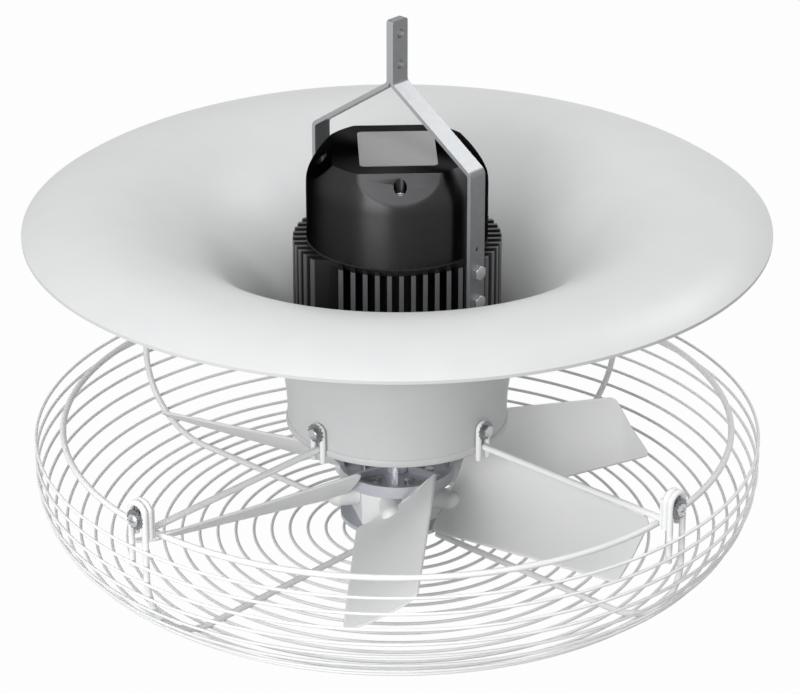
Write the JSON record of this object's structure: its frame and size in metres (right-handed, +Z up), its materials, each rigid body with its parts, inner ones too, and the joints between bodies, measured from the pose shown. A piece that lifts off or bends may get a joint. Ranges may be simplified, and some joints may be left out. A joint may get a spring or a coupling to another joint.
{
  "type": "destratification fan",
  "caption": "Hanging vertical-flow ceiling fan with a finned motor in a white trumpet hood and a propeller in a wire basket guard below it.",
  "frame": {"origin": "midway between the two hanging holes, on the plane where the two straps meet", "axes": "+Z up along the fan's axis; +X along the hanging holes and towards one leg of the bracket"},
  "size_m": [0.6999, 0.7, 0.5243],
  "materials": {
    "zinc_plated_bar": "zinc plated, satin",
    "black_casting": "black paint, half gloss",
    "black_cover": "black paint, glossy",
    "white_hood": "white, smooth",
    "white_wire": "white powder coat",
    "white_blade": "white, satin",
    "bright_fastener": "zinc plated",
    "dark_fastener": "oiled steel",
    "cast_aluminium": "turned",
    "plate_grey": "bare grey plate",
    "shaft_steel": "ground",
    "bearing_steel": "ground",
    "core_steel": "laminated",
    "copper_winding": "varnished",
    "seal_rubber": "matt",
    "black_nylon": "moulded",
    "grey_nylon": "moulded",
    "capacitor_can": "moulded"
  },
  "bodies": {
    "frame": {"strap_right": "zinc_plated_bar", "strap_left": "zinc_plated_bar", "strap_bolts": "dark_fastener", "motor_housing": "black_casting", "motor_cap": "black_cover", "cap_screws": "bright_fastener", "cap_gasket": "seal_rubber", "nameplate": "plate_grey", "upper_end_shield": "cast_aluminium", "lower_end_shield": "black_casting", "shield_screws": "bright_fastener", "stator_core": "core_steel", "stator_winding": "copper_winding", "bearing_outer_rings": "bearing_steel", "preload_washer": "bearing_steel", "shaft_seal": "seal_rubber", "terminal_block": "grey_nylon", "run_capacitor": "capacitor_can", "cable_gland": "black_nylon", "gland_nut": "black_nylon", "hood": "white_hood", "hood_bolts": "bright_fastener", "hood_washers": "bright_fastener", "guard_rim": "white_wire", "guard_side_rings": "white_wire", "guard_floor_rings": "white_wire", "ear_screws": "bright_fastener", "ear_washers": "bright_fastener", "strut_1": "white_wire", "guard_rib_1": "white_wire", "strut_2": "white_wire", "guard_rib_2": "white_wire", "strut_3": "white_wire", "guard_rib_3": "white_wire", "strut_4": "white_wire", "guard_rib_4": "white_wire"},
    "rotor": {"motor_shaft": "shaft_steel", "rotor_core": "core_steel", "rotor_end_rings": "cast_aluminium", "bearing_inner_rings": "bearing_steel", "hub_plate": "cast_aluminium", "hub_body": "white_blade", "hub_lower_plate": "cast_aluminium", "hub_screws": "bright_fastener", "shaft_key": "shaft_steel", "hub_bolt": "bright_fastener", "hub_bolt_washer": "bright_fastener", "blade_1": "white_blade", "blade_2": "white_blade", "blade_3": "white_blade", "blade_4": "white_blade", "blade_5": "white_blade", "blade_6": "white_blade"}
  },
  "joints": [
    {"name": "propeller_spin", "type": "hinge", "parent": "frame", "child": "rotor", "pos_m": [0, 0, -0.45], "axis": [0, 0, 1], "continuous": true}
  ]
}
